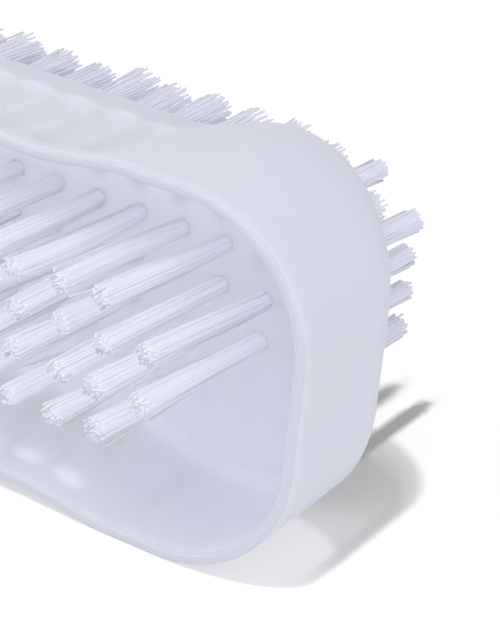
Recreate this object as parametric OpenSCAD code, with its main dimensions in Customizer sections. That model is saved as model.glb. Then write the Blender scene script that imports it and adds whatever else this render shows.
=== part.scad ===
// Two-sided nail brush: a moulded tray with tufts inside its rim and on its back, lying on one long side.
// Millimetres. X runs along the brush, Y from the open rim to the back tufts, Z up across its width.

/* [Body] */
// Length of the body, end to end
body_length = 86; // [84:1:110]
// Width of the body, which stands up in this pose
body_height = 40; // [36:0.5:48]
// Depth from the open rim to the back face
body_depth = 21.4; // [18:0.2:26]
// Radius of the four corners seen from the front
corner_radius = 14.7; // [11:0.1:16.5]
// How far each end wall leans in at the back face
end_setback = 0.4; // [0.1:0.1:1]
// Rounding of the back edge round the ends
end_edge_radius = 7; // [2:0.25:8]
// Rounding of the back edge along the bulges beside the grip
bulge_edge_radius = 2.2; // [1.5:0.1:4]
// Rounding of the back edge along the grip
grip_edge_radius = 2.4; // [0.8:0.1:3]

/* [Recess] */
// Thickness of the plate that both sets of tufts are planted in
plate_thickness = 5.2; // [4.6:0.1:7]
// Thickness of the moulded wall
wall = 1.3; // [1:0.05:2]
// Rounding of the lip of the rim
lip_radius = 0.45; // [0.2:0.05:0.48]
// Rounding between the recess floor and its walls
floor_radius = 2.2; // [1:0.1:3.5]

/* [Grip] */
// Depth of the waist at the rim
waist_front = 1.4; // [0.4:0.1:2]
// Depth of the waist at the back face
waist_back = 3.1; // [1.5:0.1:4]
// Half length of the level part of the waist at the rim
waist_half_front = 10; // [6:0.5:13]
// Half length of the level part of the waist at the back face
waist_half_back = 16.5; // [12:0.5:19]
// Length over which the waist rises to each end
waist_ramp = 12; // [8:0.5:14]
// Spacing of the cross flutes
flute_pitch = 5.2; // [4:0.05:5.6]
// Depth of each flute
flute_depth = 0.95; // [0.3:0.05:1.2]
// Plain band between the rim and the flutes
flute_front_margin = 2.2; // [1.2:0.1:3]
// Plain band between the flutes and the back face
flute_back_margin = 5.4; // [3.5:0.1:6.5]
// Length of the rounded end of a flute
flute_end = 1.9; // [1.2:0.1:3.5]

/* [Front tufts] */
// Spacing of the front tufts along the brush
front_pitch = 5.2; // [4.2:0.05:5.3]
// Spacing of the front rows
front_row_pitch = 4.6; // [4:0.05:5]
// Length of the front tufts above the recess floor
front_tuft_length = 20.8; // [15:0.1:26]

/* [Back tufts] */
// Spacing of the back tufts along the brush
back_pitch = 5.05; // [4.2:0.05:5.15]
// Spacing of the back rows
back_row_pitch = 4.15; // [3.6:0.05:4.3]
// Length of the back tufts above the back face
back_tuft_length = 17; // [10:0.1:24]

/* [Bristles] */
// Radius of one modelled strand, corner to centre
strand_radius = 0.42; // [0.25:0.01:0.44]
// Radius of the ring of strands where they leave the backing
tuft_radius = 0.64; // [0.62:0.01:0.75]
// How much wider that ring is at the tips
tuft_flare = 0.42; // [0.1:0.01:0.6]
// Greatest drop of a short strand below the tuft's length
tip_scatter = 0.9; // [0:0.05:1.5]
// Thickness of the slice of backing under a row
backing_thickness = 0.9; // [0.6:0.05:1]
// Width of the slice of backing under a row
backing_width = 2.8; // [2.4:0.05:3.1]

/* [Anchors] */
// Length of the flat wire that pins a tuft
anchor_length = 2.2; // [1.6:0.05:2.6]
// Height of that wire
anchor_height = 0.8; // [0.4:0.05:0.85]
// Thickness of that wire
anchor_thickness = 0.34; // [0.2:0.02:0.5]

/* [Hidden] */

// Fits of the pieces that are pressed into the plate
backing_fit = 0.08;
anchor_fit = 0.05;
cut_overrun = 0.5;

// Counts of what repeats
flute_count = 7;
front_rows = 4;
front_columns = 12;
back_rows = 6;
back_columns = 14;
strands_per_tuft = 4;

// Fineness of the moulded shell: points on a flute, a ramp and a corner, and sections through the depth
flute_steps = 6;
ramp_steps = 5;
corner_steps = 9;
lip_steps = 3;
edge_steps = 6;
floor_steps = 4;
flute_end_shares = [0, 0.1, 0.4, 1];
section_gap = 0.1;

// Where things lie: the whole part is centred over its origin with the tips counted in
recess_depth = body_depth - plate_thickness;
front_reach = front_tuft_length - recess_depth;
overall_depth = front_reach + body_depth + back_tuft_length;
rim_y = front_reach - overall_depth / 2;
floor_y = rim_y + recess_depth;
back_y = rim_y + body_depth;
mid_z = body_height / 2;
flute_half = flute_pitch * flute_count / 2;

function mix(a, b, share) = a + (b - a) * share;
function clamp01(share) = min(1, max(0, share));
function ease(share) = let (s = clamp01(share)) s * s * (3 - 2 * s);

// How deep the waist cuts at x and at depth y, full along its level part and fading over the ramp
function waist(x, y) =
    let (share = clamp01(y / body_depth), level = mix(waist_half_front, waist_half_back, share))
    mix(waist_front, waist_back, share) * (1 - ease((abs(x) - level) / waist_ramp));

// Troughs with a rounded end towards the rim and the back, and narrow ridges between
function flute(x, y) =
    let (share = (x + flute_half) / flute_pitch,
         across = 2 * (share - floor(share)) - 1,
         past_front = (flute_front_margin + flute_end - y) / flute_end,
         past_back = (y - body_depth + flute_back_margin + flute_end) / flute_end,
         away = norm([across, max(0, past_front, past_back)]))
    abs(x) >= flute_half ? 0 : flute_depth * cos(90 * min(1, away));

// Inset of a quarter round of radius r that ends at depth end, seen at depth y
function round_in(r, end, y) =
    let (t = y - (end - r)) t <= 0 || r <= 0 ? 0 : r - sqrt(max(0, r * r - t * t));
function lip_in(y) = y >= lip_radius ? 0 : lip_radius - sqrt(max(0, lip_radius * lip_radius
                                                                  - (lip_radius - y) * (lip_radius - y)));

// Stations along one long side, from the corner at -X to the corner at +X
function corner_x(y) =
    body_length / 2 - corner_radius - end_setback * max(0, y - lip_radius) / (body_depth - lip_radius);
function side_stations(y) = concat(
    [for (i = [0 : ramp_steps - 1]) mix(-corner_x(y), -flute_half, i / ramp_steps)],
    [for (i = [0 : flute_count * flute_steps]) -flute_half + flute_pitch * i / flute_steps],
    [for (i = [1 : ramp_steps]) mix(flute_half, corner_x(y), i / ramp_steps)]);

// One closed section through the body at depth y, drawn inset from the outer surface. The back edge
// is rounded little along the grip, more along the bulges and most round the ends
function side_radius(x, y) = mix(grip_edge_radius, bulge_edge_radius,
                                 ease((abs(x) - flute_half / 2) / (corner_x(y) - flute_half / 2)));
function turn_radius(a) = mix(bulge_edge_radius, end_edge_radius, cos(a) * cos(a));
function inset_at(edge_radius, y, shell) =
    shell ? round_in(edge_radius, body_depth, y) + lip_in(y)
          : wall + round_in(floor_radius, recess_depth, y) - lip_in(y);
function half_height(x, y, shell) =
    mid_z - waist(x, y) - flute(x, y) - inset_at(side_radius(x, y), y, shell);
function corner_arc(sx, sz, from, y, shell) =
    [for (i = [1 : corner_steps - 1])
        let (a = from + 90 * i / corner_steps, r = corner_radius - inset_at(turn_radius(a), y, shell))
        [sx * corner_x(y) + r * cos(a), rim_y + y, mid_z + sz * (mid_z - corner_radius) + r * sin(a)]];
function end_point(sx, sz, y, shell) =
    [sx * (corner_x(y) + corner_radius - inset_at(end_edge_radius, y, shell)), rim_y + y,
     mid_z + sz * (mid_z - corner_radius)];
function ring(y, shell) =
    let (xs = side_stations(y), n = len(xs))
    concat([for (x = xs) [x, rim_y + y, mid_z - half_height(x, y, shell)]],
           corner_arc(1, -1, -90, y, shell),
           [end_point(1, -1, y, shell), end_point(1, 1, y, shell)],
           corner_arc(1, 1, 0, y, shell),
           [for (i = [0 : n - 1]) let (x = xs[n - 1 - i]) [x, rim_y + y, mid_z + half_height(x, y, shell)]],
           corner_arc(-1, 1, 90, y, shell),
           [end_point(-1, 1, y, shell), end_point(-1, -1, y, shell)],
           corner_arc(-1, -1, 180, y, shell));

// Where the sections lie: close together on the lip, at the ends of the flutes and on the rounded edges
function sorted(depths) = len(depths) == 0 ? [] : let (y = depths[0]) concat(
    sorted([for (other = depths) if (other < y - section_gap) other]), [y],
    sorted([for (other = depths) if (other > y + section_gap) other]));
function edge_depths(end, radius, steps) =
    [for (i = [0 : steps]) end - radius * (1 - sin(90 * i / steps))];
function section_depths(end, radius, steps) = sorted(
    [for (y = concat([0, end], lip_depths, edge_depths(end, radius, steps), flute_depths)) if (y <= end) y]);
lip_depths = [for (i = [0 : lip_steps - 1]) lip_radius * (1 - cos(90 * i / (lip_steps - 1)))];
flute_depths = [for (s = flute_end_shares)
    each [flute_front_margin + flute_end * s, body_depth - flute_back_margin - flute_end * s]];
outer_depths = section_depths(body_depth, end_edge_radius, edge_steps);
inner_depths = section_depths(recess_depth, floor_radius, floor_steps);

// The shell as one closed skin: rim, outside, back cap, then inside and floor cap
rings = concat([for (i = [len(inner_depths) - 1 : -1 : 0]) ring(inner_depths[i], false)],
               [for (y = outer_depths) ring(y, true)]);

module shell() {
    n = len(rings[0]);
    m = len(rings);
    points = concat([for (r = rings) for (p = r) p],
                    [[0, floor_y, mid_z], [0, back_y, mid_z]]);
    sides = [for (k = [0 : m - 2]) for (i = [0 : n - 1])
        let (j = (i + 1) % n, a = k * n + i, b = k * n + j, c = a + n, d = b + n)
        for (t = [[a, b, d], [a, d, c]]) t];
    caps = concat([for (i = [0 : n - 1]) [m * n, (i + 1) % n, i]],
                  [for (i = [0 : n - 1]) [m * n + 1, (m - 1) * n + i, (m - 1) * n + (i + 1) % n]]);
    polyhedron(points, concat(sides, caps), convexity = 8);
}

// Rows of tufts. The first and last row leave out the two end columns, as the corners do
function row_z(row, rows, pitch) = mid_z + ((rows + 1) / 2 - row) * pitch;
function row_columns(row, rows, columns) = row == 1 || row == rows ? columns - 2 : columns;
function column_x(i, count, pitch) = (i - (count - 1) / 2) * pitch;

// A repeatable scatter between 0 and 1
function scatter(a, b) = let (v = sin(a * 127.1 + b * 311.7) * 43758.5) v - floor(v);

// One strand with three sides, from its root to its tip
module strand(root, tip, turn) {
    corners = [for (k = [0 : 2]) strand_radius * [cos(turn + 120 * k), 0, sin(turn + 120 * k)]];
    points = concat([for (c = corners) root + c], [for (c = corners) tip + c]);
    faces = [[0, 1, 2], [5, 4, 3], [0, 3, 1], [1, 3, 4], [1, 4, 2], [2, 4, 5], [2, 5, 0], [0, 5, 3]];
    polyhedron(points, tip[1] < root[1] ? faces : [for (f = faces) [f[2], f[1], f[0]]]);
}

// A row: its slice of backing, let into the plate at seat_y, and its tufts standing out towards side
module tuft_row(row, rows, columns, pitch, row_pitch, seat_y, side, tuft_length) {
    count = row_columns(row, rows, columns);
    z = row_z(row, rows, row_pitch);
    reach = (count - 1) * pitch + backing_width;
    union() {
        translate([-reach / 2, side > 0 ? seat_y - backing_thickness : seat_y, z - backing_width / 2])
            cube([reach, backing_thickness, backing_width]);
        for (i = [0 : count - 1], k = [0 : strands_per_tuft - 1]) {
            turn = 360 * k / strands_per_tuft + 45 + 20 * scatter(i, row);
            drop = tip_scatter * scatter(i * strands_per_tuft + k, row + columns) * (i + k == 0 ? 0 : 1);
            out = [cos(turn), 0, sin(turn)];
            middle = [column_x(i, count, pitch), seat_y, z];
            strand(middle + out * tuft_radius - [0, side * backing_thickness / 2, 0],
                   middle + out * (tuft_radius + tuft_flare) + [0, side * (tuft_length - drop), 0], turn);
        }
    }
}

// What the plate is cut away for: a channel for each slice of backing and a slot for each anchor
module row_cuts(row, rows, columns, pitch, row_pitch, seat_y, side) {
    count = row_columns(row, rows, columns);
    z = row_z(row, rows, row_pitch);
    reach = (count - 1) * pitch + backing_width + 2 * backing_fit;
    width = backing_width + 2 * backing_fit;
    depth = backing_thickness + cut_overrun;
    translate([-reach / 2, side > 0 ? seat_y - backing_thickness : seat_y - cut_overrun, z - width / 2])
        cube([reach, depth, width]);
    for (i = [0 : count - 1])
        anchor_at(column_x(i, count, pitch), seat_y, z, side, anchor_fit, cut_overrun);
}

// One flat wire anchor, or with a fit and an overrun the slot that it sits in
module anchor_at(x, seat_y, z, side, fit, overrun) {
    size = [anchor_length + 2 * fit, anchor_height + overrun, anchor_thickness + 2 * fit];
    start = backing_thickness - overrun;
    translate([x - size[0] / 2, side > 0 ? seat_y - start - size[1] : seat_y + start, z - size[2] / 2])
        cube(size);
}

module anchors(rows, columns, pitch, row_pitch, seat_y, side)
    for (row = [1 : rows])
        let (count = row_columns(row, rows, columns))
        for (i = [0 : count - 1])
            anchor_at(column_x(i, count, pitch), seat_y, row_z(row, rows, row_pitch), side, 0, 0);

module body() color("#d6dae6")
    difference() {
        shell();
        union() {
            for (row = [1 : front_rows])
                row_cuts(row, front_rows, front_columns, front_pitch, front_row_pitch, floor_y, -1);
            for (row = [1 : back_rows])
                row_cuts(row, back_rows, back_columns, back_pitch, back_row_pitch, back_y, 1);
        }
    }

module front_row(row) color("#eef1fb")
    tuft_row(row, front_rows, front_columns, front_pitch, front_row_pitch, floor_y, -1, front_tuft_length);
module back_row(row) color("#e2e6f6")
    tuft_row(row, back_rows, back_columns, back_pitch, back_row_pitch, back_y, 1, back_tuft_length);

module front_tufts_row_1() front_row(1);
module front_tufts_row_2() front_row(2);
module front_tufts_row_3() front_row(3);
module front_tufts_row_4() front_row(4);
module back_tufts_row_1() back_row(1);
module back_tufts_row_2() back_row(2);
module back_tufts_row_3() back_row(3);
module back_tufts_row_4() back_row(4);
module back_tufts_row_5() back_row(5);
module back_tufts_row_6() back_row(6);
module front_anchors() color("#b9b9b4")
    anchors(front_rows, front_columns, front_pitch, front_row_pitch, floor_y, -1);
module back_anchors() color("#b9b9b4")
    anchors(back_rows, back_columns, back_pitch, back_row_pitch, back_y, 1);

body();
front_tufts_row_1();
front_tufts_row_2();
front_tufts_row_3();
front_tufts_row_4();
back_tufts_row_1();
back_tufts_row_2();
back_tufts_row_3();
back_tufts_row_4();
back_tufts_row_5();
back_tufts_row_6();
front_anchors();
back_anchors();
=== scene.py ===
# Two-sided nail brush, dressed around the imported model. Metres, +Z up, the brush lying on one long side.
# Lengths in the dictionaries are millimetres and angles degrees. A depth y counts from the rim to the back.
import math

import bpy
import numpy as np
from mathutils import Matrix, Vector
from mathutils.geometry import delaunay_2d_cdt


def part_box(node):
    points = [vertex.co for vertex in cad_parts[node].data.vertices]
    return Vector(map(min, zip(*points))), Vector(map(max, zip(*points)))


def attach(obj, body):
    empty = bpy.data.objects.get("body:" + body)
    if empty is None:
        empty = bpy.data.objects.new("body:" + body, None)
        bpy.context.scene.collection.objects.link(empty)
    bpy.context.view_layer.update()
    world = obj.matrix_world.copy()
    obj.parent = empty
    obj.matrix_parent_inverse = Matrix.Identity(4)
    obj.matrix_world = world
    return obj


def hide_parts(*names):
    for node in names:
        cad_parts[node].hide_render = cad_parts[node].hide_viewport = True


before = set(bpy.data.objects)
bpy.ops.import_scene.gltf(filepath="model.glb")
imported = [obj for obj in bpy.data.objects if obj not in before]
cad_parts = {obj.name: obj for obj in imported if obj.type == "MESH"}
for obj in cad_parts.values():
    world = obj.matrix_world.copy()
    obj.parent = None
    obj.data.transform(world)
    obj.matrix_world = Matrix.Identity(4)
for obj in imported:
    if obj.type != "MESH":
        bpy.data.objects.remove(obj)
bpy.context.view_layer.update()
mm = 0.001
bodyLow, bodyHigh = (np.array(corner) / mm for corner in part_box("body"))
brushLength, bodyDepth, brushWidth = bodyHigh - bodyLow
rimY, backY = bodyLow[1], bodyHigh[1]
middleZ = (bodyLow[2] + bodyHigh[2]) / 2


# Helpers for colours, nodes and meshes
def hexColour(text):  # an sRGB hex value turned to the linear colour that shaders take
    parts = [int(text[i:i + 2], 16) / 255 for i in (1, 3, 5)]
    return [p / 12.92 if p <= 0.04045 else ((p + 0.055) / 1.055) ** 2.4 for p in parts] + [1.0]


def addNode(tree, kind, inputs=None, **settings):  # in a colour Mix, inputs 6 and 7 are its two colours
    node = tree.nodes.new(kind)
    for name, value in settings.items():
        setattr(node, name, value)
    for name, value in (inputs or {}).items():
        if isinstance(value, bpy.types.NodeSocket):
            tree.links.new(value, node.inputs[name])
        else:
            node.inputs[name].default_value = value
    return node


def newMaterial(name):
    material = bpy.data.materials.new(name)
    material.use_nodes = True
    material.node_tree.nodes.clear()
    return material, material.node_tree


def meshPiece(name, points, faces, material, sharpAngle=None, normals=None):  # points in mm
    mesh = bpy.data.meshes.new(name)
    mesh.from_pydata((np.asarray(points) * mm).tolist(), [], faces)
    mesh.shade_smooth()
    if sharpAngle:
        mesh.set_sharp_from_angle(angle=math.radians(sharpAngle))
    if normals is not None:
        mesh.normals_split_custom_set_from_vertices(normals)
    mesh.materials.append(material)
    piece = bpy.data.objects.new(name, mesh)
    bpy.context.scene.collection.objects.link(piece)
    return piece


def mix(a, b, share):
    return a + (b - a) * share


def ease(share):
    s = np.clip(share, 0, 1)
    return s * s * (3 - 2 * s)


# The two fields of tufts and the holes that they are planted in
plateThickness = 5.2
fields = {
    "front": {
        "rows": 4,
        "columns": 12,  # two fewer in the first and the last row
        "pitch": 5.2,
        "rowPitch": 4.6,
        "side": -1,  # which way along Y the tufts stand
        "seatY": backY - plateThickness,
        "length": 20.8,
        "lean": 3.4,  # from square, towards the top
        "tipSpread": 1.22,  # radius of a tuft at its tips
        "open": 1.15,  # 1 opens evenly along the tuft, more opens late and less opens early
        "endSpread": 1.0,  # share of the spread for the tufts at the two ends of a row
        "ahead": 0.8,  # how far the strands are shaded as if they faced out along the tuft
        "shortest": 1.2,  # how much shorter a filament may be
        "strayShare": 0.03,  # share of the filaments that stray from their tuft
        "perTuft": 64,
        "seed": 31,
        "nodes": "front_tufts_row_",
    },
    "back": {
        "rows": 6,
        "columns": 14,
        "pitch": 5.05,
        "rowPitch": 4.15,
        "side": 1,
        "seatY": backY,
        "length": 17.0,
        "lean": -3.2,
        "tipSpread": 2.12,
        "open": 0.72,
        "endSpread": 0.55,
        "ahead": -0.2,
        "shortest": 0.5,
        "strayShare": 0.01,
        "perTuft": 100,
        "seed": 131,
        "nodes": "back_tufts_row_",
    },
}
hole = {"radius": 0.95, "chamfer": 0.05, "depth": 0.6, "points": 24}


def tuftSeats(field, row):  # middles of the holes of one row, counted from the top
    count = field["columns"] - (2 if row in (1, field["rows"]) else 0)
    z = middleZ + ((field["rows"] + 1) / 2 - row) * field["rowPitch"]
    return [((i - (count - 1) / 2) * field["pitch"], z) for i in range(count)]


def allSeats(field):
    return [seat for row in range(1, field["rows"] + 1) for seat in tuftSeats(field, row)]


# Materials
def letLightThrough(tree, shader, shares, shade=0):
    # Thin milky walls and single filaments shade what is behind them softly, and a thick plate does more
    rays = addNode(tree, "ShaderNodeLightPath")
    surface = shader
    for kind, share in shares.items():
        clear = addNode(tree, "ShaderNodeBsdfTransparent", {"Color": (share, share, share, 1)})
        surface = addNode(tree, "ShaderNodeMixShader", {0: rays.outputs[kind], 1: surface.outputs[0],
                                                        2: clear.outputs[0]})
    out = addNode(tree, "ShaderNodeOutputMaterial", {"Surface": surface.outputs[0]})
    if shade:
        dim = addNode(tree, "ShaderNodeVolumeAbsorption", {"Color": (0, 0, 0, 1), "Density": shade / mm})
        tree.links.new(dim.outputs[0], out.inputs["Volume"])


plastic = {
    "colour": "#D8DAE6",
    "cloud": "#D4D6E3",  # faint clouds in the melt
    "cloudSize": 14.0,
    "cloudDetail": 2.0,
    "glow": "#DDDFEA",  # light comes round the rim and lifts the inside of the end walls behind it
    "glowDepth": 9.0,
    "glowEnd": 0.5,  # share of the way from the middle to an end at which it is full
    "plate": "#D4D6E2",  # painted shade: the floor of the recess is darker, as it is thick and has bristles behind it
    "plateTop": "#EBEDF5",  # and painted light towards the top, where light comes through the upper wall
    "plateHeights": (3.0, 15.0),  # over the middle, where that starts and is full
    "plateReach": 0.4,  # how near the floor's level a point of the floor is
    "plateFacing": (-0.3, -0.9),  # how far it faces to the front, from none of the colour to all
    "spotShade": "#D0D2E1",  # painted shade: soft darker spots where the blind holes of the other side show through the plate
    "spotRadius": 1.9,
    "lip": "#BDBFCC",  # painted shade on the front face of the lip, so it looks a little darker than the walls
    "lipShadeDepth": 0.9,
    "lipShadeFacing": (0.0, -0.6),
    "roughness": 0.5,
    "ior": 1.49,
    "scatterDepth": 2.5,
    "lightThrough": {"Is Shadow Ray": 0.8},  # share of the light that a face of a wall lets pass on
    "shade": 0.05,  # how much of it each millimetre takes
    "glaze": 0.25,  # the lip is polished, so it has a small glint
    "glazeRoughness": 0.14,
    "grain": 0.35,  # the fine matt texture of the mould
    "grainDetail": 3.0,
    "grainHeight": 0.004,
    "grainStrength": 0.35,
}


def backHoleShadeSpots(tree, apart):  # soft spots of painted shade on the lattice of the back holes, 1 in their middles
    back = fields["back"]
    offsets, masks = [], []
    for axis, count, pitch, middle in (("X", back["columns"], back["pitch"] * mm, 0.0),
                                       ("Z", back["rows"], back["rowPitch"] * mm, middleZ * mm)):
        moved = addNode(tree, "ShaderNodeMath", {0: apart[axis], 1: middle}, operation="SUBTRACT").outputs[0]
        cell = addNode(tree, "ShaderNodeMath", {0: moved, 1: pitch}, operation="FLOORED_MODULO").outputs[0]
        offsets.append(addNode(tree, "ShaderNodeMath", {0: cell, 1: pitch / 2},
                               operation="SUBTRACT").outputs[0])
        masks.append(addNode(tree, "ShaderNodeMath", {0: apart[axis], 1: middle, 2: count / 2 * pitch},
                             operation="COMPARE").outputs[0])
    flat = addNode(tree, "ShaderNodeCombineXYZ", {0: offsets[0], 1: offsets[1]}).outputs[0]
    away = addNode(tree, "ShaderNodeVectorMath", {0: flat}, operation="LENGTH").outputs["Value"]
    spots = addNode(tree, "ShaderNodeMapRange", {"Value": away, "From Max": plastic["spotRadius"] * mm,
                                                 "To Min": 1.0, "To Max": 0.0},
                    interpolation_type="SMOOTHSTEP").outputs[0]
    for mask in masks:
        spots = addNode(tree, "ShaderNodeMath", {0: spots, 1: mask}, operation="MULTIPLY").outputs[0]
    return spots


def milkyPolypropylene():
    # Injection moulded natural polypropylene: milky, soft sheen, light bleeds through the thin walls
    p = plastic
    material, tree = newMaterial("milkyPolypropylene")
    coordinates = addNode(tree, "ShaderNodeTexCoord")
    place = coordinates.outputs["Object"]
    apart = addNode(tree, "ShaderNodeSeparateXYZ", {0: place}).outputs
    facing = addNode(tree, "ShaderNodeSeparateXYZ", {0: coordinates.outputs["Normal"]}).outputs["Y"]

    behindRim = addNode(tree, "ShaderNodeAttribute", attribute_name="behindRim").outputs["Fac"]
    level = addNode(tree, "ShaderNodeMath", {0: apart["Y"], 1: fields["front"]["seatY"] * mm,
                                             2: p["plateReach"] * mm}, operation="COMPARE").outputs[0]
    turned = addNode(tree, "ShaderNodeMapRange", {"Value": facing, "From Min": p["plateFacing"][0],
                                                  "From Max": p["plateFacing"][1]},
                     interpolation_type="SMOOTHSTEP").outputs[0]
    onPlate = addNode(tree, "ShaderNodeMath", {0: level, 1: turned}, operation="MULTIPLY").outputs[0]
    # Painted shade where the back holes show through the plate
    onSpotShade = addNode(tree, "ShaderNodeMath", {0: backHoleShadeSpots(tree, apart), 1: onPlate},
                     operation="MULTIPLY").outputs[0]
    # Painted shade on the lip where it faces the front
    early = addNode(tree, "ShaderNodeMath", {0: apart["Y"], 1: (rimY + p["lipShadeDepth"]) * mm},
                    operation="LESS_THAN").outputs[0]
    ahead = addNode(tree, "ShaderNodeMapRange", {"Value": facing, "From Min": p["lipShadeFacing"][0],
                                                 "From Max": p["lipShadeFacing"][1]}).outputs[0]
    onShadedLip = addNode(tree, "ShaderNodeMath", {0: early, 1: ahead}, operation="MULTIPLY").outputs[0]

    cloud = addNode(tree, "ShaderNodeTexNoise", {"Vector": place, "Scale": 1 / (p["cloudSize"] * mm),
                                                 "Detail": p["cloudDetail"]}).outputs[0]
    # Painted shade on the floor of the recess, with painted light towards its top
    low, high = ((middleZ + height) * mm for height in p["plateHeights"])
    litTowardsTop = addNode(tree, "ShaderNodeMapRange", {"Value": apart["Z"], "From Min": low, "From Max": high},
                     interpolation_type="SMOOTHSTEP").outputs[0]
    plate = addNode(tree, "ShaderNodeMix", {0: litTowardsTop, 6: hexColour(p["plate"]),
                                            7: hexColour(p["plateTop"])}, data_type="RGBA").outputs[2]
    colour = hexColour(p["colour"])
    # All layers but the clouds are painted light and shade
    for share, layer in ((cloud, hexColour(p["cloud"])), (behindRim, hexColour(p["glow"])), (onPlate, plate),
                         (onSpotShade, hexColour(p["spotShade"])), (onShadedLip, hexColour(p["lip"]))):
        colour = addNode(tree, "ShaderNodeMix", {0: share, 6: colour, 7: layer}, data_type="RGBA").outputs[2]

    grain = addNode(tree, "ShaderNodeTexNoise", {"Vector": place, "Scale": 1 / (p["grain"] * mm),
                                                 "Detail": p["grainDetail"]}).outputs[0]
    bump = addNode(tree, "ShaderNodeBump", {"Height": grain, "Strength": p["grainStrength"],
                                            "Distance": p["grainHeight"] * mm})
    polished = addNode(tree, "ShaderNodeMath", {0: apart["Y"], 1: (rimY + moulding["lip"]) * mm},
                       operation="LESS_THAN").outputs[0]
    glaze = addNode(tree, "ShaderNodeMath", {0: polished, 1: p["glaze"]}, operation="MULTIPLY").outputs[0]
    shader = addNode(tree, "ShaderNodeBsdfPrincipled", {
        "Base Color": colour, "Roughness": p["roughness"], "IOR": p["ior"],
        "Subsurface Weight": 1.0, "Subsurface Radius": (1.0, 1.0, 1.0),
        "Subsurface Scale": p["scatterDepth"] * mm, "Normal": bump.outputs[0],
        "Coat Weight": glaze, "Coat Roughness": p["glazeRoughness"]})
    letLightThrough(tree, shader, p["lightThrough"], p["shade"])
    return material


nylon = {
    # Painted light and shade: the same nylon is lighter in the front field, which lies in the shade of the
    # recess, and darker and bluer in the back field
    "colour": {"front": "#F3F4FF", "back": "#EFF0FF"},
    "shade": {"front": "#EDEEFF", "back": "#E8E9FF"},  # the darker streaks
    "streak": 0.3,  # about one strand wide
    "streakLength": 9.0,
    "streakDetail": 1.0,
    "roughness": 0.5,
    "ior": 1.53,
    "shine": 0.25,
    "clearShare": 0.1,  # share of the surface that shows the light from behind
    "shadowThrough": {"front": 0.996, "back": 0.993},  # share of the light that a filament lets pass on
    "bounceThrough": 1.0,  # all bounced light, because a tuft is lit from strand to strand
}


def nylonFilament(side):
    # Drawn nylon filament: near white with a cold cast, each strand slightly lighter or darker than the next
    p = nylon
    material, tree = newMaterial(f"{side}NylonFilament")
    place = addNode(tree, "ShaderNodeTexCoord").outputs["Object"]
    stretch = (1 / (p["streak"] * mm), 1 / (p["streakLength"] * mm), 1 / (p["streak"] * mm))
    along = addNode(tree, "ShaderNodeVectorMath", {0: place, 1: stretch}, operation="MULTIPLY").outputs[0]
    streak = addNode(tree, "ShaderNodeTexNoise", {"Vector": along, "Scale": 1.0,
                                                  "Detail": p["streakDetail"]}).outputs[0]
    # Each field's own colour carries painted light and shade
    colour = addNode(tree, "ShaderNodeMix", {0: streak, 6: hexColour(p["colour"][side]),
                                             7: hexColour(p["shade"][side])}, data_type="RGBA").outputs[2]
    strand = addNode(tree, "ShaderNodeBsdfPrincipled", {
        "Base Color": colour, "Roughness": p["roughness"], "IOR": p["ior"], "Specular IOR Level": p["shine"]})
    glow = addNode(tree, "ShaderNodeBsdfTranslucent", {"Color": colour})
    shader = addNode(tree, "ShaderNodeMixShader", {0: p["clearShare"], 1: strand.outputs[0],
                                                   2: glow.outputs[0]})
    letLightThrough(tree, shader, {"Is Shadow Ray": p["shadowThrough"][side],
                                   "Is Diffuse Ray": p["bounceThrough"]})
    return material


wire = {
    "colour": "#B9B8B0",
    "roughness": 0.38,
    "roughnessRange": 0.08,  # more and less on the lines
    "line": 0.05,
    "lineLength": 16.7,
}


def drawnAnchorWire():
    # Flat drawn nickel silver wire: pale metal with fine draw lines along it
    p = wire
    material, tree = newMaterial("drawnAnchorWire")
    place = addNode(tree, "ShaderNodeTexCoord").outputs["Object"]
    stretch = (1 / (p["lineLength"] * mm), 1 / (p["line"] * mm), 1 / (p["line"] * mm))
    along = addNode(tree, "ShaderNodeVectorMath", {0: place, 1: stretch}, operation="MULTIPLY").outputs[0]
    drawn = addNode(tree, "ShaderNodeTexNoise", {"Vector": along, "Scale": 1.0}).outputs[0]
    smoothest, roughest = (p["roughness"] + sign * p["roughnessRange"] for sign in (-1, 1))
    rough = addNode(tree, "ShaderNodeMapRange", {"Value": drawn, "To Min": smoothest,
                                                 "To Max": roughest}).outputs[0]
    shader = addNode(tree, "ShaderNodeBsdfPrincipled", {"Base Color": hexColour(p["colour"]), "Metallic": 1.0,
                                                        "Roughness": rough})
    addNode(tree, "ShaderNodeOutputMaterial", {"Surface": shader.outputs[0]})
    return material


# The moulded body: one lofted skin with a drilled hole for each tuft
moulding = {
    "cornerRadius": 14.7,  # seen from the front
    "endSetback": 0.4,  # how much further in the ends are at the back than at the rim
    "endEdge": 7.0,  # rounding of the back edge at the ends, the bulges and the grip
    "bulgeEdge": 2.2,
    "gripEdge": 2.4,
    "wall": 1.3,
    "lip": 0.45,  # rounding of the rim
    "floorRound": 2.2,
    "waistFront": 1.4,  # how far each side is drawn in at the rim and at the back
    "waistBack": 3.1,
    "waistHalfFront": 10.0,  # how far from the middle it stays so, and then how fast it comes out
    "waistHalfBack": 16.5,
    "waistRamp": 12.0,
    "fluteCount": 7,
    "flutePitch": 5.2,
    "fluteDepth": 0.95,
    "fluteFront": 2.2,  # plain bands towards the rim and towards the back
    "fluteBack": 5.4,
    "fluteEnd": 1.9,  # length of the rounded end of a trough
    "fluteInside": 1.0,  # how much of the depth of a flute shows inside the rim
    "fluteFade": 12.0,  # how far in from the rim it is gone
    "ridgeRound": 0.12,  # how blunt the ridges between the flutes are
    "stepsPerFlute": 16,
    "rampSteps": 20,
    "cornerSteps": 18,
    "endPoints": 7,  # on the straight of each end
    "lipSections": 7,
    "edgeSections": 12,
    "sectionGap": 0.34,  # between the sections through the depth
    "sharpAngle": 35,
}
fluteHalf = moulding["flutePitch"] * moulding["fluteCount"] / 2
recessDepth = bodyDepth - plateThickness


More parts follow.
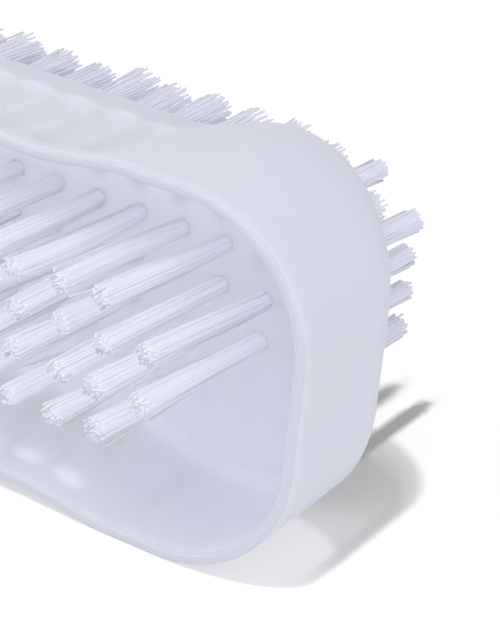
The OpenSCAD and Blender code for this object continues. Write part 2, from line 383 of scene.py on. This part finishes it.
def cornerX(y):
    lean = moulding["endSetback"] * max(0, y - moulding["lip"]) / (bodyDepth - moulding["lip"])
    return brushLength / 2 - moulding["cornerRadius"] - lean


def waist(x, y):
    m = moulding
    share = np.clip(y / bodyDepth, 0, 1)
    level = mix(m["waistHalfFront"], m["waistHalfBack"], share)
    return mix(m["waistFront"], m["waistBack"], share) * (1 - ease((abs(x) - level) / m["waistRamp"]))


def flute(x, y):  # troughs with a rounded end towards the rim and the back
    m = moulding
    across = 2 * np.mod((x + fluteHalf) / m["flutePitch"], 1) - 1
    pastFront = (m["fluteFront"] + m["fluteEnd"] - y) / m["fluteEnd"]
    pastBack = (y - bodyDepth + m["fluteBack"] + m["fluteEnd"]) / m["fluteEnd"]
    away = np.minimum(1, np.hypot(across, max(0, pastFront, pastBack)))
    blunt = m["ridgeRound"]
    trough = np.sqrt(np.cos(np.pi / 2 * away) ** 2 + blunt ** 2) - blunt
    trough = trough / (math.sqrt(1 + blunt ** 2) - blunt)
    return np.where(abs(x) < fluteHalf, m["fluteDepth"] * trough, 0)


def roundIn(radius, end, y):  # inset of a quarter round that ends at depth end
    t = np.maximum(0, y - (end - radius))
    return radius - np.sqrt(np.maximum(0, radius ** 2 - t ** 2))


def insetAt(edge, y, outside):
    lip = moulding["lip"]
    lipIn = 0 if y >= lip else lip - math.sqrt(lip ** 2 - (lip - y) ** 2)
    if outside:
        return roundIn(edge, bodyDepth, y) + lipIn
    return moulding["wall"] + roundIn(moulding["floorRound"], recessDepth, y) - lipIn


def section(y, outside):  # a closed loop through the body at depth y
    m = moulding
    cx = cornerX(y)
    fluteSteps = m["fluteCount"] * m["stepsPerFlute"]
    xs = np.concatenate([np.linspace(-cx, -fluteHalf, m["rampSteps"], endpoint=False),
                         np.linspace(-fluteHalf, fluteHalf, fluteSteps, endpoint=False),
                         np.linspace(fluteHalf, cx, m["rampSteps"] + 1)])
    edge = mix(m["gripEdge"], m["bulgeEdge"], ease((abs(xs) - fluteHalf / 2) / (cx - fluteHalf / 2)))
    fluted = flute(xs, y) * (1 if outside else m["fluteInside"] * (1 - ease(y / m["fluteFade"])))
    half = brushWidth / 2 - waist(xs, y) - fluted - insetAt(edge, y, outside)
    turn = np.radians(np.linspace(-90, 0, m["cornerSteps"] + 1))[1:]
    turnEdge = mix(m["bulgeEdge"], m["endEdge"], np.cos(turn) ** 2)
    radius = m["cornerRadius"] - insetAt(turnEdge, y, outside)
    straight = brushWidth / 2 - m["cornerRadius"]
    lowArc = np.stack([cx + radius * np.cos(turn), radius * np.sin(turn) - straight], 1)
    flat = [(lowArc[-1][0], z) for z in np.linspace(-straight, straight, m["endPoints"] + 2)[1:-1]]
    halfLoop = np.concatenate([np.stack([xs, -half], 1), lowArc, flat, (lowArc * [1, -1])[::-1]])
    loop = np.concatenate([halfLoop, -halfLoop])  # the other half is this one turned by 180 degrees
    return np.stack([loop[:, 0], np.full(len(loop), rimY + y), middleZ + loop[:, 1]], 1)


def depths(outside):  # close together on the lip and the rounded edge
    m = moulding
    lip = m["lip"] * (1 - np.cos(np.radians(np.linspace(0, 90, m["lipSections"]))))
    end, edge = (bodyDepth, m["gripEdge"]) if outside else (recessDepth, m["floorRound"])
    middle = np.arange(m["lip"], end - edge, m["sectionGap"])[1:]
    last = end - edge * (1 - np.sin(np.radians(np.linspace(0, 90, m["edgeSections"]))))
    return np.concatenate([lip, middle, last])


def plateFace(points, faces, first, count, field):  # closes a loop with a flat face and its blind holes
    n, side = hole["points"], field["side"]
    around = np.linspace(0, 2 * np.pi, n, endpoint=False)
    circle = np.stack([np.cos(around), np.sin(around)], 1)
    outer = hole["radius"] + hole["chamfer"]
    seats = np.array(allSeats(field))
    flat = [(x, z) for x, _, z in points[first:first + count]]
    edges = [(i, (i + 1) % count) for i in range(count)]
    for k, seat in enumerate(seats):
        flat += [tuple(p) for p in seat + outer * circle]
        edges += [(count + k * n + i, count + k * n + (i + 1) % n) for i in range(n)]
    insideEdges, closeness = 1, 1e-7  # gives the triangles inside the loop, and those over holes go below
    found = delaunay_2d_cdt([Vector(p) for p in flat], edges, [], insideEdges, closeness)
    whose = [min(group) for group in found[3]]  # the given point that each point of the result is
    start, each = len(points), 3 * n + 1

    def pointOf(v):
        return first + v if v < count else start + (v - count) // n * each + (v - count) % n

    made = []
    for face in found[2]:
        corners = [whose[v] for v in face]
        centre = np.mean([flat[c] for c in corners], 0)
        if np.hypot(*(seats - centre).T).min() > outer:
            made.append([pointOf(c) for c in corners])
    for k, seat in enumerate(seats):
        a = start + k * each
        for radius, deep in ((outer, 0), (hole["radius"], hole["chamfer"]), (hole["radius"], hole["depth"])):
            points += [(x, field["seatY"] - side * deep, z) for x, z in seat + radius * circle]
        points.append((seat[0], field["seatY"] - side * hole["depth"], seat[1]))
        for i in range(n):
            j = (i + 1) % n
            made += [[a + i, a + j, a + n + j, a + n + i],
                     [a + n + i, a + n + j, a + 2 * n + j, a + 2 * n + i],
                     [a + 2 * n + i, a + 2 * n + j, a + 3 * n]]
    faces += made if side < 0 else [face[::-1] for face in made]


def mouldedBody(material):
    innerDepths = depths(False)[::-1]
    loops = [section(y, False) for y in innerDepths] + [section(y, True) for y in depths(True)]
    n = len(loops[0])
    points = [tuple(p) for loop in loops for p in loop]
    faces = []
    for k in range(len(loops) - 1):
        for i in range(n):
            j = (i + 1) % n
            faces.append([k * n + i, (k + 1) * n + i, (k + 1) * n + j, k * n + j])
    plateFace(points, faces, 0, n, fields["front"])
    plateFace(points, faces, (len(loops) - 1) * n, n, fields["back"])
    piece = meshPiece("moulded_body", points, faces, material, sharpAngle=moulding["sharpAngle"])

    # How much light each point gets round the rim, kept on the mesh for the material
    behindRim = np.zeros(len(points), np.float32)
    for k, y in enumerate(innerDepths):
        towardsEnd = ease(np.abs(loops[k][:, 0]) / (plastic["glowEnd"] * brushLength / 2))
        behindRim[k * n:(k + 1) * n] = (1 - ease(y / plastic["glowDepth"])) * towardsEnd
    piece.data.attributes.new("behindRim", "FLOAT", "POINT").data.foreach_set("value", behindRim)
    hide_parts("body")
    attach(piece, "root")


# The bristles: each tuft is a bundle of filaments that stand close in the hole and open towards the tips
bristle = {
    "radius": 0.13,  # thicker than the real ones, so that each shows
    "radiusRange": (0.92, 1.08),
    "rootSpread": 0.88,  # radius of the bundle in its hole
    "rootDepth": 0.55,
    "placeStray": 0.05,  # how far a filament is from its place in the bundle, as a share of the radius
    "spreadRange": (0.9, 1.12),  # from the tuft that opens least to the one that opens most
    "tuftLean": 0.8,  # how far a tuft strays from square
    "tipStray": 0.09,
    "stray": 0.6,  # the same for the few filaments that leave their tuft
    "strayShorter": 1.5,
    "bow": 0.1,  # how far a filament bends out in the middle, and how far a whole tuft does
    "tuftBow": 0.12,
    "longPower": 2.2,  # the higher, the more filaments are about as long as the longest
    "sides": 5,
    "stations": (0, 0.12, 0.3, 0.5, 0.72, 1),
    "tipRound": 0.1,
    "tipAlong": 0.75,  # share of the rounded tip at its last ring, and the girth there
    "tipGirth": 0.66,
    "tipAhead": (0.2, 0.6, 1),  # how far the last three rings face out along the tuft
    "ownShading": 0.35,  # how far a filament is shaded as a tube of its own
}


def tuftRow(name, field, row, material):
    b = bristle
    rng = np.random.default_rng(field["seed"] + row)
    seats = np.array(tuftSeats(field, row))
    tufts, n = len(seats), field["perTuft"]
    order = np.arange(n) + 0.5  # places on a sunflower spiral fill a round hole evenly
    spin = order * math.pi * (3 - math.sqrt(5)) + rng.uniform(0, 2 * math.pi, (tufts, 1))
    radial = np.sqrt(order / n)[:, None] * np.stack([np.cos(spin), np.sin(spin)], 2)
    radial = radial + rng.normal(0, b["placeStray"], (tufts, n, 2))
    width = rng.uniform(*b["spreadRange"], (tufts, 1, 1))
    width[[0, -1]] *= field["endSpread"]
    root = seats[:, None] + radial * b["rootSpread"]
    lean = rng.normal(0, b["tuftLean"], (tufts, 1, 2)) + [0, field["lean"]]
    tip = root + radial * (field["tipSpread"] * width - b["rootSpread"])
    tip = tip + np.tan(np.radians(lean)) * field["length"] + rng.normal(0, b["tipStray"], (tufts, n, 2))
    stray = rng.random((tufts, n, 1)) < field["strayShare"]
    tip = tip + stray * rng.normal(0, b["stray"], (tufts, n, 2))
    bow = rng.normal(0, b["bow"], (tufts, n, 2)) + rng.normal(0, b["tuftBow"], (tufts, 1, 2))
    length = field["length"] - field["shortest"] * rng.random((tufts, n)) ** b["longPower"]
    length = length - stray[..., 0] * rng.uniform(0, b["strayShorter"], (tufts, n))
    length[:, 0] = field["length"]
    radius = b["radius"] * rng.uniform(*b["radiusRange"], (tufts, n))

    shares = np.array(b["stations"])[:, None, None]
    along = shares * (length + b["rootDepth"]) - b["rootDepth"]
    up = np.maximum(0, along / length)[..., None]
    bent = bow * 4 * up * (1 - up)  # 0 at both ends and bow halfway
    middle = root + (tip - root) * up ** field["open"] + bent
    along[-1] -= b["tipRound"]
    along = np.concatenate([along, along[-1:] + b["tipRound"] * b["tipAlong"], along[-1:] + b["tipRound"]])
    middle = np.concatenate([middle, middle[-1:], middle[-1:]])
    girth = np.array([1] * len(shares) + [b["tipGirth"], 0])[:, None, None] * radius
    turn = np.linspace(0, 2 * math.pi, b["sides"], endpoint=False)
    ring = np.stack([np.cos(turn), np.sin(turn)], 1)
    rings = middle[:, :, :, None] + girth[..., None, None] * ring
    y = np.broadcast_to((field["seatY"] + field["side"] * along)[..., None], rings.shape[:-1])
    # A tuft is shaded mostly as one round bundle, because the light passes from strand to strand in it
    around = middle - middle.mean(2, keepdims=True)
    around = around / np.abs(around).max((2, 3), keepdims=True)
    faced = mix(around[:, :, :, None], ring, b["ownShading"])
    ahead = field["ahead"] + np.array([0] * (len(shares) - 1) + list(b["tipAhead"]))
    ahead = field["side"] * ahead[:, None, None, None]
    normals = np.stack([faced[..., 0], np.broadcast_to(ahead, faced.shape[:-1]), faced[..., 1]], -1)
    normals /= np.linalg.norm(normals, axis=-1, keepdims=True)

    stations, sides = len(rings), b["sides"]
    perTube = (stations - 1) * sides + 1

    def tubeByTube(values):  # from stations, tufts, filaments, sides to one list, with one value at each tip
        values = values.transpose(1, 2, 0, 3, 4).reshape(tufts * n, stations * sides, 3)
        return values[:, :perTube].reshape(-1, 3)

    pattern = []
    for k in range(stations - 2):
        for i in range(sides):
            j = (i + 1) % sides
            pattern.append([k * sides + i, k * sides + j, (k + 1) * sides + j, (k + 1) * sides + i])
    last = (stations - 2) * sides
    pattern += [[last + i, last + (i + 1) % sides, perTube - 1] for i in range(sides)]
    pattern.append(list(range(sides))[::-1])
    if field["side"] > 0:
        pattern = [face[::-1] for face in pattern]
    faces = [[v + t * perTube for v in face] for t in range(tufts * n) for face in pattern]
    points = np.stack([rings[..., 0], y, rings[..., 1]], -1)
    piece = meshPiece(name, tubeByTube(points), faces, material, normals=tubeByTube(normals))
    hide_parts(f"{field['nodes']}{row}")
    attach(piece, "root")


# Floor, lamps and camera
studio = {
    "floorSize": 4.0,  # metres
    "floorColour": 0.9,
    "floorBounce": 0.64,  # how much of its light the floor throws back on the brush
    "floorLamp": 2.35,  # lights the floor alone, so that it is white, and casts the shadow
    "keyLamp": 0.45,  # lights the brush alone, from the same side
    "floorLampAngle": 2.5,
    "keyLampAngle": 30,
    "shadowPerHeight": (0.02, 0.43),  # how far along X and Y a point's shadow falls for each unit of height
    "skyStrength": 0.5,
    "skyShown": 1.0,
    # Soft lamps that light the brush and not the floor: where from, how strong, how wide
    "fills": (((0.0, 0.3, 1.0), 0.1, 120), ((1.0, -0.3, 0.1), 0.8, 55), ((-0.15, -1.0, 0.12), 2.3, 110)),
}


def seenDirectly(tree):  # 1 for the camera and for what glossy and clear surfaces show
    rays = addNode(tree, "ShaderNodeLightPath")
    total = rays.outputs["Is Camera Ray"]
    for name in ("Is Glossy Ray", "Is Transmission Ray"):
        total = addNode(tree, "ShaderNodeMath", {0: total, 1: rays.outputs[name]},
                        operation="MAXIMUM").outputs[0]
    return total


def studioFloor():
    # Matt white paper: it shows nothing but the shadow
    material, tree = newMaterial("whiteSweep")
    bounced, shown = ([studio[k]] * 3 + [1] for k in ("floorBounce", "floorColour"))
    colour = addNode(tree, "ShaderNodeMix", {0: seenDirectly(tree), 6: bounced, 7: shown},
                     data_type="RGBA").outputs[2]
    matt = addNode(tree, "ShaderNodeBsdfDiffuse", {"Color": colour})
    addNode(tree, "ShaderNodeOutputMaterial", {"Surface": matt.outputs[0]})
    half = studio["floorSize"] / 2 / mm
    corners = [(-half, -half, 0), (half, -half, 0), (half, half, 0), (-half, half, 0)]
    floor = meshPiece("studio_floor", corners, [[0, 1, 2, 3]], material)
    return floor


def sun(name, strength, angle, along, lights):  # lights is the collection that says what it lights
    lamp = bpy.data.lights.new(name, "SUN")
    lamp.energy = strength
    lamp.angle = math.radians(angle)
    holder = bpy.data.objects.new(name, lamp)
    holder.rotation_mode = "QUATERNION"
    holder.rotation_quaternion = along.to_track_quat("-Z", "Y")
    holder.light_linking.receiver_collection = lights
    bpy.context.scene.collection.objects.link(holder)


def studioLight(floor):
    world = bpy.data.worlds.new("studioSky")
    bpy.context.scene.world = world
    world.use_nodes = True
    tree = world.node_tree
    tree.nodes.clear()
    sky, white = (addNode(tree, "ShaderNodeBackground", {"Color": (1, 1, 1, 1), "Strength": studio[k]})
                  for k in ("skyStrength", "skyShown"))
    shown = addNode(tree, "ShaderNodeMixShader", {0: seenDirectly(tree), 1: sky.outputs[0],
                                                  2: white.outputs[0]})
    addNode(tree, "ShaderNodeOutputWorld", {"Surface": shown.outputs[0]})
    # A lamp linked to the first collection lights the floor alone, and one linked to the other all the rest
    lit = {}
    for state in ("INCLUDE", "EXCLUDE"):
        lit[state] = bpy.data.collections.new(f"floor {state.lower()}d")
        lit[state].objects.link(floor)
        lit[state].collection_objects[0].light_linking.link_state = state
    down = Vector((*studio["shadowPerHeight"], -1))
    sun("floorLamp", studio["floorLamp"], studio["floorLampAngle"], down, lit["INCLUDE"])
    sun("keyLamp", studio["keyLamp"], studio["keyLampAngle"], down, lit["EXCLUDE"])
    for place, strength, angle in studio["fills"]:
        sun("fillLamp", strength, angle, -Vector(place), lit["EXCLUDE"])


view = {
    "azimuth": 30.3,
    "elevation": 26.4,
    "roll": 5.9,
    "frame": (500, 625),
    "focalPixels": 2700,
    "distance": 250.8,
    "rimEndPixel": (297.6, 428.2),  # where the middle of the near end of the rim shows
    "sensorWidth": 36,
    "clip": (0.01, 20),  # metres
}


def photoCamera():
    azimuth, elevation, roll = (math.radians(view[k]) for k in ("azimuth", "elevation", "roll"))
    back = np.array([math.sin(azimuth) * math.cos(elevation), -math.cos(azimuth) * math.cos(elevation),
                     math.sin(elevation)])
    level = np.array([math.cos(azimuth), math.sin(azimuth), 0])
    steep = np.cross(back, level)
    right = math.cos(roll) * level + math.sin(roll) * steep
    up = math.cos(roll) * steep - math.sin(roll) * level
    across, down = ((pixel - size / 2) / view["focalPixels"]
                    for pixel, size in zip(view["rimEndPixel"], view["frame"]))
    rimEnd = np.array([brushLength / 2, rimY, middleZ])
    place = rimEnd + view["distance"] * (back - right * across + up * down)
    lens = bpy.data.cameras.new("photoCamera")
    lens.sensor_fit = "HORIZONTAL"
    lens.sensor_width = view["sensorWidth"]
    lens.lens = view["focalPixels"] / view["frame"][0] * lens.sensor_width
    lens.clip_start, lens.clip_end = view["clip"]
    camera = bpy.data.objects.new("photoCamera", lens)
    bpy.context.scene.collection.objects.link(camera)
    rows = [[right[i], up[i], back[i], place[i] * mm] for i in range(3)]
    camera.matrix_world = Matrix(rows + [[0, 0, 0, 1]])
    bpy.context.scene.camera = camera


print("camera, floor and lamps")
photoCamera()
studioLight(studioFloor())
bpy.context.scene.view_settings.view_transform = "Standard"
bpy.context.scene.cycles.transparent_max_bounces = 40  # light has many filaments to pass in a tuft

print("moulded body")
mouldedBody(milkyPolypropylene())

print("bristles")
for side, field in fields.items():
    filament = nylonFilament(side)
    for row in range(1, field["rows"] + 1):
        tuftRow(f"{side}_bristles_{row}", field, row, filament)

print("anchor wires")
anchorMetal = drawnAnchorWire()
for name in ("front_anchors", "back_anchors"):
    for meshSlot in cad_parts[name].material_slots:
        meshSlot.material = anchorMetal
